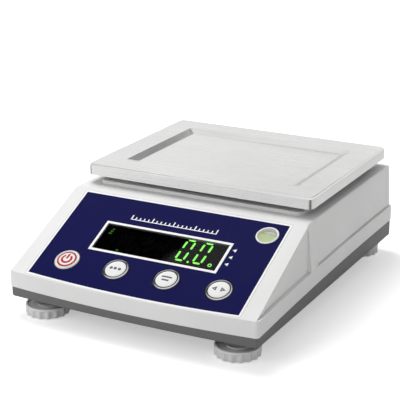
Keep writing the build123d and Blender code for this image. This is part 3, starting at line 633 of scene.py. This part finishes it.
def make_lit_green(name, strength):
    """Lit LED segment, a little uneven."""
    finish, parts, links, shader, place = start_finish(name, (0.05, 0.2, 0.03, 1.0), 0.5)
    glow = add_noise(parts, links, place, 0.002, 2.0)
    uneven = vary(parts, links, glow, 0.0, 1.0)
    links.new(tint(parts, links, uneven, lit_green, (0.30, 1.0, 0.16, 1.0)), shader.inputs["Emission Color"])
    shader.inputs["Emission Strength"].default_value = strength
    return finish


def add_segment(shape, x, up, length, upright):
    """One six-sided segment, pointed at both ends, centred at x and up."""
    half_long = length / 2
    half_wide = segment_width / 2
    tip = half_wide * 0.9
    outline = [
        (-half_long, 0.0), (-half_long + tip, half_wide), (half_long - tip, half_wide),
        (half_long, 0.0), (half_long - tip, -half_wide), (-half_long + tip, -half_wide),
    ]
    corners = [(b, a) if upright else (a, b) for a, b in outline]
    face = shape.faces.new([shape.verts.new((x + a, up + b, segment_low)) for a, b in corners])
    made = bmesh.ops.extrude_face_region(shape, geom=[face])
    raised = [v for v in made["geom"] if isinstance(v, bmesh.types.BMVert)]
    bmesh.ops.translate(shape, verts=raised, vec=(0.0, 0.0, segment_high - segment_low))
    return face.verts[:] + raised


def add_digit(shape, x, segments):
    """Seven-segment digit: a top, b and c right, d bottom, e and f left, g middle."""
    half_w = digit_width / 2
    half_h = digit_height / 2
    places = {
        "a": (0.0, half_h, flat_segment, False), "b": (half_w, *upper_segment, True),
        "c": (half_w, *lower_segment, True), "d": (0.0, -half_h, flat_segment, False),
        "e": (-half_w, *lower_segment, True), "f": (-half_w, *upper_segment, True),
        "g": (0.0, 0.0, flat_segment, False),
    }
    for letter in segments:
        across, up, length, upright = places[letter]
        for v in add_segment(shape, x + across, digit_up + up, length, upright):
            v.co.x += digit_slant * (v.co.y - digit_up) / half_h


def add_disc(shape, x, up, radius, low, high, segments=20):
    made = bmesh.ops.create_cone(
        shape, cap_ends=True, segments=segments, radius1=radius, radius2=radius, depth=high - low,
    )
    bmesh.ops.translate(shape, verts=made["verts"], vec=(x, up, (low + high) / 2))
    return made["verts"]


def add_ring(shape, x, up, inner, outer, low, high, steps=32, sweep=360.0, start=0.0):
    """Flat ring, or an arc of one, spun from its cross-section about an upright axis."""
    turn = Matrix.Rotation(math.radians(start), 3, "Z")
    section = [(inner, low), (outer, low), (outer, high), (inner, high)]
    verts = [shape.verts.new(turn @ Vector((r, 0.0, z))) for r, z in section]
    face = shape.faces.new(verts)
    whole = sweep >= 360.0
    geom = verts + list(face.edges) + ([] if whole else [face])
    bmesh.ops.spin(
        shape, geom=geom, axis=(0.0, 0.0, 1.0), cent=(0.0, 0.0, 0.0), steps=steps,
        angle=math.radians(sweep), use_merge=whole,
    )
    if whole:
        bmesh.ops.delete(shape, geom=[face], context="FACES_ONLY")
    made = [v for v in shape.verts if v.tag is False]
    bmesh.ops.translate(shape, verts=made, vec=(x, up, 0.0))
    for v in shape.verts:
        v.tag = True
    return made


smoked_lens = make_smoked_acrylic()
dress("display_window", smoked_lens)

shape = bmesh.new()
border = bmesh.ops.create_grid(shape, x_segments=1, y_segments=1, size=1.0)
bmesh.ops.scale(shape, verts=border["verts"], vec=(window_half[0], window_half[1], 1.0))
bmesh.ops.translate(shape, verts=border["verts"], vec=(window_x, window_up, 0.0))
inner_face = shape.faces[:]
bmesh.ops.inset_region(
    shape, faces=inner_face, thickness=window_border, use_even_offset=True, use_boundary=True,
)
bmesh.ops.delete(shape, geom=inner_face, context="FACES")
made = bmesh.ops.extrude_face_region(shape, geom=shape.faces[:])
raised = [v for v in made["geom"] if isinstance(v, bmesh.types.BMVert)]
bmesh.ops.translate(shape, verts=raised, vec=(0.0, 0.0, ink_thick))
finish_piece("window_border_print", shape, [ink_white], "housing", panel)

module_black = (0.002, 0.002, 0.002, 1.0)
unlit_grey = (0.006, 0.007, 0.006, 1.0)
display_black = make_moulded_plastic("display_black", module_black, 0.5, 0.0003, 0.00001)
dress("display_module", display_black)
segment_dark = make_ink("segment_unlit", unlit_grey, 0.4)
segment_lit = make_lit_green("segment_lit", lit_strength)

point_aside = 0.0002
point_drop = 0.0003
point_radius = 0.0008
steady_aside = 0.0098  # a small lit ring to the right of the last digit
steady_lift = 0.0008
steady_inner, steady_outer = 0.0010, 0.0015
lit = bmesh.new()
unlit = bmesh.new()
for place in range(digit_count):
    x = last_digit_x - place * digit_pitch
    add_digit(lit if place < lit_digits else unlit, x, "abcdef" if place < lit_digits else "abcdefg")
point_x = last_digit_x - digit_pitch / 2 - point_aside
point_up = digit_up - digit_height / 2 - point_drop
add_disc(lit, point_x, point_up, point_radius, segment_low, segment_high)
for v in lit.verts:
    v.tag = True
add_ring(
    lit, last_digit_x + steady_aside, point_up + steady_lift, steady_inner, steady_outer,
    segment_low, segment_high, 24,
)
finish_piece("display_segments_lit", lit, [segment_lit], "housing", panel)
finish_piece("display_segments_unlit", unlit, [segment_dark], "housing", panel)

# Small annunciators at the module's left edge, glowing much more faintly than the digits.
faint_strength = 0.9
bars_x, bars_up = -0.0455, 0.0555  # a stack of three bars, each shorter than the one under it
bars_lean, bars_pitch = 0.0004, 0.0022
bar_long, bar_shorter, bar_thick = 0.0024, 0.0005, 0.0008
mark_x, mark_up, mark_long, mark_thick = -0.0315, 0.0405, 0.0018, 0.0009
annunciator_green = make_lit_green("annunciator_green", faint_strength)
shape = bmesh.new()
for step in range(3):
    add_bar(
        shape, bars_x + bars_lean * step, bars_up + bars_pitch * step, bar_long - bar_shorter * step,
        bar_thick, segment_low, segment_high,
    )
add_bar(shape, mark_x, mark_up, mark_long, mark_thick, segment_low, segment_high)
finish_piece("display_annunciators", shape, [annunciator_green], "housing", panel)

# ---------------------------------------------------------------- keys
# Four round caps of glossy white plastic, each domed inside a shallow dark groove, with a plated rim and a
# skirt painted dark as shade for the gap round the key. The power key is white all over but for the skirt.
# Marks are printed on the domes, in red on the power key and in grey on the others.
key_radius = 0.0098
rim_inner = 0.0085
groove_inner = 0.0077
rim_outer = 0.0094  # the skirt outside it is painted dark, as shade for the gap round the key
rim_high = 0.00096
on_white, on_groove, on_rim, on_shaded_skirt = range(4)
groove_slack, skirt_slack = 0.00012, 0.00002  # a face this close to a border still counts as over it
flange_radius = 0.0112
flange_high = -0.0028
flange_low = -0.0038
stem_radius = 0.0022
stem_low = -0.0070
dome_high = 0.0015
dome_edge_high = 0.0005
dome_edge_radius = 0.0094
groove_floor = 0.0004
dome_ball = (dome_edge_radius**2 + (dome_high - dome_edge_high) ** 2) / (2 * (dome_high - dome_edge_high))
power_red = (0.42, 0.006, 0.008, 1.0)
key_print_grey = (0.10, 0.10, 0.13, 1.0)


def dome_at(radius):
    """Height of the key's dome over the panel's face, at a distance from its middle."""
    return dome_high - dome_ball + math.sqrt(dome_ball**2 - radius**2)


def key_profile():
    """Half section of a key cap from the middle of its dome round to the foot of its stem."""
    dome = [(r, dome_at(r)) for r in (0.0, 0.0015, 0.003, 0.0045, 0.006, groove_inner - 0.0003)]
    groove = [
        (groove_inner - 0.0001, dome_at(groove_inner) - 0.0001), (groove_inner, groove_floor),
        (rim_inner, groove_floor), (rim_inner + 0.0001, 0.0008),
    ]
    rim = [
        (rim_inner + 0.0002, rim_high), (rim_inner + 0.0005, 0.00092), (rim_outer - 0.0001, 0.0006),
        (rim_outer, 0.0002), (key_radius - 0.0001, 0.0), (key_radius, -0.0002),
    ]
    under = [
        (key_radius, flange_high), (flange_radius, flange_high), (flange_radius, flange_low),
        (stem_radius, flange_low), (stem_radius, stem_low), (0.0, stem_low),
    ]
    return dome, groove, rim, under


def make_gloss(name, colour, rough=0.18):
    """Glossy moulded plastic with a clear, slightly wiped surface."""
    finish, parts, links, shader, place = start_finish(name, colour, rough)
    shader.inputs["Coat Weight"].default_value = 0.3
    shader.inputs["Coat Roughness"].default_value = 0.08
    wiped = add_noise(parts, links, place, 0.006, 3.0)
    links.new(vary(parts, links, wiped, rough - 0.05, rough + 0.07), shader.inputs["Roughness"])
    cloud = add_noise(parts, links, place, 0.015, 2.0)
    mottle_colour(parts, links, shader, cloud, colour, 0.98, 1.01)
    return finish


def node_place(node):
    """A node's middle in panel coordinates: across, and up the slope."""
    points = [panel.inverted() @ v.co for v in nodes[node].data.vertices]
    xs = [p.x for p in points]
    ups = [p.y for p in points]
    return (min(xs) + max(xs)) / 2, (min(ups) + max(ups)) / 2


def key_place(name):
    """Where a key's own shape goes: the middle of its node, square to the panel."""
    x, up = node_place(f"key_{name}")
    return panel @ Matrix.Translation((x, up, 0.0))


key_white = (0.84, 0.84, 0.83, 1.0)
plate_grey = (0.66, 0.66, 0.67, 1.0)
groove_dark = (0.05, 0.05, 0.055, 1.0)
# Painted shade: the skirt's dark colour stands in for the shadowed gap between the key and its hole.
skirt_shade_colour = (0.012, 0.012, 0.02, 1.0)
plastic_dark = (0.03, 0.03, 0.031, 1.0)
white_gloss = make_gloss("white_gloss", key_white)
rim_plate = make_metal("key_rim_plate", plate_grey, 0.14, "x", 0.0004, 2.0, 0.05)
groove_grey = make_ink("groove_grey", groove_dark)
ink_red = make_ink("ink_red", power_red)
ink_grey = make_ink("ink_grey", key_print_grey)
# The skirt's finish is painted shade, made like an ink.
skirt_painted_shade = make_ink("key_skirt_painted_shade", skirt_shade_colour)
black_plastic = make_moulded_plastic("black_plastic", plastic_dark, 0.45, grain_pitch, 0.00002)


def make_key(name):
    """Key cap: white dome, a skirt painted dark as the shade of the gap round it, and a dark groove and
    plated rim except on the power key.
    """
    shape = bmesh.new()
    dome, groove, rim, under = key_profile()
    spin_profile(shape, dome + groove + rim + under)
    power = name == "power"
    for face in shape.faces:
        middle = face.calc_center_median()
        radius = math.hypot(middle.x, middle.y)
        on_top = middle.z > 0.0
        if on_top and groove_inner - groove_slack < radius < rim_inner + groove_slack:
            face.material_index = on_groove
        # The outer band gets the painted shade of the gap round the key.
        elif radius > rim_outer - skirt_slack:
            face.material_index = on_shaded_skirt
        elif on_top and radius > rim_inner:
            face.material_index = on_rim
        else:
            face.material_index = on_white
    groove_finish = white_gloss if power else groove_grey
    rim_finish = white_gloss if power else rim_plate
    finishes = [white_gloss, groove_finish, rim_finish, skirt_painted_shade]
    key = f"key_{name}"
    finish_piece(f"key_cap_{name}", shape, finishes, key, key_place(name), [key])


red_line = (0.0061, 0.0074)  # inner and outer radius
symbol_ring = (0.0028, 0.0044)
symbol_sweep, symbol_start = 290.0, 125.0  # the ring is open at its top, where the stroke comes through
stroke_starts, stroke_part, stroke_wide = 0.0006, 0.0010, 0.0016
count_pitch, count_radius = 0.0034, 0.00125
tare_bars = ((0.0015, 0.0080), (-0.0015, 0.0054))  # how far up the key, and how long
tare_thick = 0.0013
tare_parts = 4  # short lengths, so that a bar follows the dome
arrow_aside, arrow_size = 0.0029, 0.0024


def lay_on_dome(shape):
    """Lets flat print follow the key's dome."""
    for v in shape.verts:
        v.co.z += dome_at(math.hypot(v.co.x, v.co.y))


def print_power(shape):
    """Round red line and the power symbol inside it."""
    add_ring(shape, 0.0, 0.0, *red_line, -ink_thick, ink_thick, 64)
    add_ring(shape, 0.0, 0.0, *symbol_ring, -ink_thick, ink_thick, 40, symbol_sweep, symbol_start)
    for step in range(5):
        up = stroke_starts + stroke_part * step
        add_bar(shape, 0.0, up, stroke_wide, stroke_part, -ink_thick, ink_thick)


def print_count(shape):
    """Three counted pieces in a row."""
    for step in (-1, 0, 1):
        add_disc(shape, count_pitch * step, 0.0, count_radius, -ink_thick, ink_thick)


def print_tare(shape):
    """Two short bars, one over the other."""
    for up, width in tare_bars:
        part = width / tare_parts
        for step in range(tare_parts):
            across = (step - (tare_parts - 1) / 2) * width / tare_parts
            add_bar(shape, across, up, part, tare_thick, -ink_thick, ink_thick)


def print_unit(shape):
    """Two arrowheads that point away from each other."""
    for sign in (-1, 1):
        made = bmesh.ops.create_cone(
            shape, cap_ends=True, segments=3, radius1=arrow_size, radius2=arrow_size, depth=2 * ink_thick,
        )
        outwards = Matrix.Rotation(math.radians(-90.0 * sign), 4, "Z")
        turned = Matrix.Translation((arrow_aside * sign, 0.0, 0.0)) @ outwards
        bmesh.ops.transform(shape, matrix=turned, verts=made["verts"])


key_prints = {"power": print_power, "count": print_count, "tare": print_tare, "unit": print_unit}
for name, draw in key_prints.items():
    make_key(name)
    shape = bmesh.new()
    draw(shape)
    lay_on_dome(shape)
    ink = ink_red if name == "power" else ink_grey
    finish_piece(f"key_print_{name}", shape, [ink], f"key_{name}", key_place(name))
    dress(f"plunger_{name}", black_plastic)
dress("key_switches", black_plastic)

# ---------------------------------------------------------------- bubble level
# White cup pressed in the panel's corner under a clear lens, with a pale grey backing. The cup leans with
# the slope, so its pale green fluid lies towards the operator and leaves air at the back.
vial_outer = 0.0084  # just covers the 16 mm hole in the housing
vial_barrel = 0.0078
vial_inner = 0.0069
vial_floor = -0.0028
vial_lens_under = -0.0010
vial_foot = -0.0080
vial_rim_high = 0.0007
vial_seat = 0.00005  # the rim's underside, just clear of the film
fluid_edge = 0.0004  # where the fluid's surface meets the lens, from the middle
fluid_green = (0.78, 0.92, 0.50, 1.0)


def make_clear(name, colour, rough, index):
    """Clear moulded acrylic with faint wipe marks in its gloss."""
    finish, parts, links, shader, place = start_finish(name, colour, rough)
    shader.inputs["Transmission Weight"].default_value = 1.0
    shader.inputs["IOR"].default_value = index
    wiped = add_noise(parts, links, place, 0.004, 2.0)
    links.new(vary(parts, links, wiped, rough, rough + 0.04), shader.inputs["Roughness"])
    return finish


backing_grey = (0.95, 0.94, 0.93, 1.0)
lens_clear = (0.97, 0.98, 0.97, 1.0)
vial_grey = make_gloss("vial_grey", backing_grey, 0.3)
clear_lens = make_clear("clear_lens", lens_clear, 0.01, 1.3)
vial_fluid = make_gloss("vial_fluid", fluid_green, 0.1)
dress("level_vial_lens", clear_lens)
vial_x, vial_up = node_place("level_vial_cup")
vial_place = panel @ Matrix.Translation((vial_x, vial_up, 0.0))
shape = bmesh.new()
spin_profile(
    shape,
    [
        (0.0, vial_floor), (vial_inner, vial_floor), (vial_inner, 0.0002),
        (vial_inner + 0.0003, vial_rim_high - 0.0001), (vial_inner + 0.0007, vial_rim_high),
        (vial_outer - 0.0004, vial_rim_high - 0.0001), (vial_outer, 0.0003), (vial_outer, vial_seat),
        (vial_barrel, vial_seat), (vial_barrel, vial_foot), (0.0, vial_foot),
    ],
    steps=72,
)
finish_piece("level_cup", shape, [white_gloss], "housing", vial_place, ["level_vial_cup"])
shape = bmesh.new()
made = bmesh.ops.create_cone(
    shape, cap_ends=True, segments=48, radius1=vial_inner, radius2=vial_inner,
    depth=vial_lens_under - vial_floor,
)
bmesh.ops.translate(shape, verts=made["verts"], vec=(0.0, 0.0, (vial_floor + vial_lens_under) / 2))
cut = bmesh.ops.bisect_plane(
    shape, geom=shape.verts[:] + shape.edges[:] + shape.faces[:], plane_co=(0.0, fluid_edge, vial_lens_under),
    plane_no=(0.0, math.sin(panel_tilt), math.cos(panel_tilt)), clear_outer=True,
)
bmesh.ops.edgeloop_fill(shape, edges=[e for e in cut["geom_cut"] if isinstance(e, bmesh.types.BMEdge)])
finish_piece("level_fluid", shape, [vial_fluid], "housing", vial_place, ["level_vial_liquid"])
shape = bmesh.new()
add_disc(shape, 0.0, 0.0, vial_inner - 0.0001, vial_floor, vial_floor + 0.0001, 48)
finish_piece("level_backing", shape, [vial_grey], "housing", vial_place)

# ---------------------------------------------------------------- weighing pan
# Stainless sheet, drawn to a dish inside a flat rim, with a turned-down skirt. The brushing runs from
# side to side on every face.
steel = (0.76, 0.76, 0.755, 1.0)


def make_brushed_steel():
    """Brushed stainless sheet: long fine scratches, broader bands of them, and a patchy tone."""
    finish, parts, links, shader, place = start_finish("brushed_stainless", steel, 0.24)
    shader.inputs["Metallic"].default_value = 1.0
    fine = add_noise(parts, links, place, 0.00025, 3.0, (140.0, 1.0, 1.0))
    broad = add_noise(parts, links, place, 0.0016, 3.0, (60.0, 1.0, 1.0))
    cloud = add_noise(parts, links, place, 0.05, 3.0)
    links.new(vary(parts, links, fine, 0.18, 0.30), shader.inputs["Roughness"])
    bands = vary(parts, links, broad, 0.4, 1.0)
    patches = vary(parts, links, cloud, 0.5, 1.0)
    mottle = calculate(parts, links, "MULTIPLY", bands, patches)
    links.new(tint(parts, links, mottle, shade(steel, 0.90), shade(steel, 1.04)), shader.inputs["Base Color"])
    add_bump(parts, links, shader, fine, 0.12, 0.00001)
    return finish


dress("weighing_pan", make_brushed_steel())

# ---------------------------------------------------------------- load path under the pan
# Cast spider with four rubber rests, carried by a block on the free end of an aluminium bending beam.
# The beam's other end stands on a second block on a zinc-plated steel plate screwed to the tray.
cast_grey = (0.52, 0.52, 0.53, 1.0)
beam_grey = (0.78, 0.78, 0.79, 1.0)
sheet_grey = (0.66, 0.67, 0.68, 1.0)
cast_aluminium = make_moulded_plastic("cast_aluminium", cast_grey, 0.42, 0.0009, 0.00008)
cast_aluminium.node_tree.nodes["Principled BSDF"].inputs["Metallic"].default_value = 1.0
aluminium_beam = make_metal("aluminium_beam", beam_grey, 0.32, "y", 0.0003, 60.0)
steel_plate = make_metal("zinc_sheet", sheet_grey, 0.36, "y", 0.0006, 8.0)
dress("pan_support", cast_aluminium)
dress("pan_bumpers", black_rubber)
for node in ("load_cell", "load_cell_riser", "load_post"):
    dress(node, aluminium_beam)
dress("base_plate", steel_plate)
for node in ("load_post_screws", "load_cell_fixed_screws", "overload_stop", "base_plate_screws"):
    dress(node, zinc_plate)

# ---------------------------------------------------------------- electronics, battery and wiring
# Green glass-fibre boards, black components, a tinned shield, the power socket in the back wall, and a
# sealed battery in its foam. Their leads are clipped inside the housing.
board_green = (0.018, 0.12, 0.045, 1.0)
battery_black = (0.045, 0.045, 0.048, 1.0)
jacket_black = (0.03, 0.03, 0.03, 1.0)


def make_board():
    """Solder mask over faint copper tracks that run in both directions."""
    finish, parts, links, shader, place = start_finish("circuit_board", board_green, 0.35)
    tracks = add_noise(parts, links, place, 0.0012, 1.0, (12.0, 1.0, 12.0))
    crossing = add_noise(parts, links, place, 0.0012, 1.0, (1.0, 12.0, 12.0))
    both = calculate(parts, links, "MAXIMUM", tracks, crossing)
    mottle_colour(parts, links, shader, both, board_green, 0.8, 1.5)
    add_bump(parts, links, shader, both, 0.3, 0.00003)
    return finish


circuit_board = make_board()
battery_case = make_moulded_plastic("battery_case", battery_black, 0.42, grain_pitch, 0.00003)
cable_jacket = make_moulded_plastic("cable_jacket", jacket_black, 0.5, 0.0012, 0.00003)
inside_finishes = {
    "display_board": circuit_board, "main_board": circuit_board, "display_board_screws": zinc_plate,
    "main_board_screws": zinc_plate, "adc_shield": zinc_plate, "board_components": black_plastic,
    "buzzer": black_plastic, "board_headers": white_gloss, "dc_jack": black_plastic, "battery": battery_case,
    "battery_terminals": brass_nut, "battery_foam": black_rubber, "load_cell_cable": cable_jacket,
    "battery_leads": cable_jacket, "display_ribbon": cable_jacket,
}
for node, finish in inside_finishes.items():
    dress(node, finish)

# ---------------------------------------------------------------- view settings
bpy.context.scene.view_settings.view_transform = "Standard"
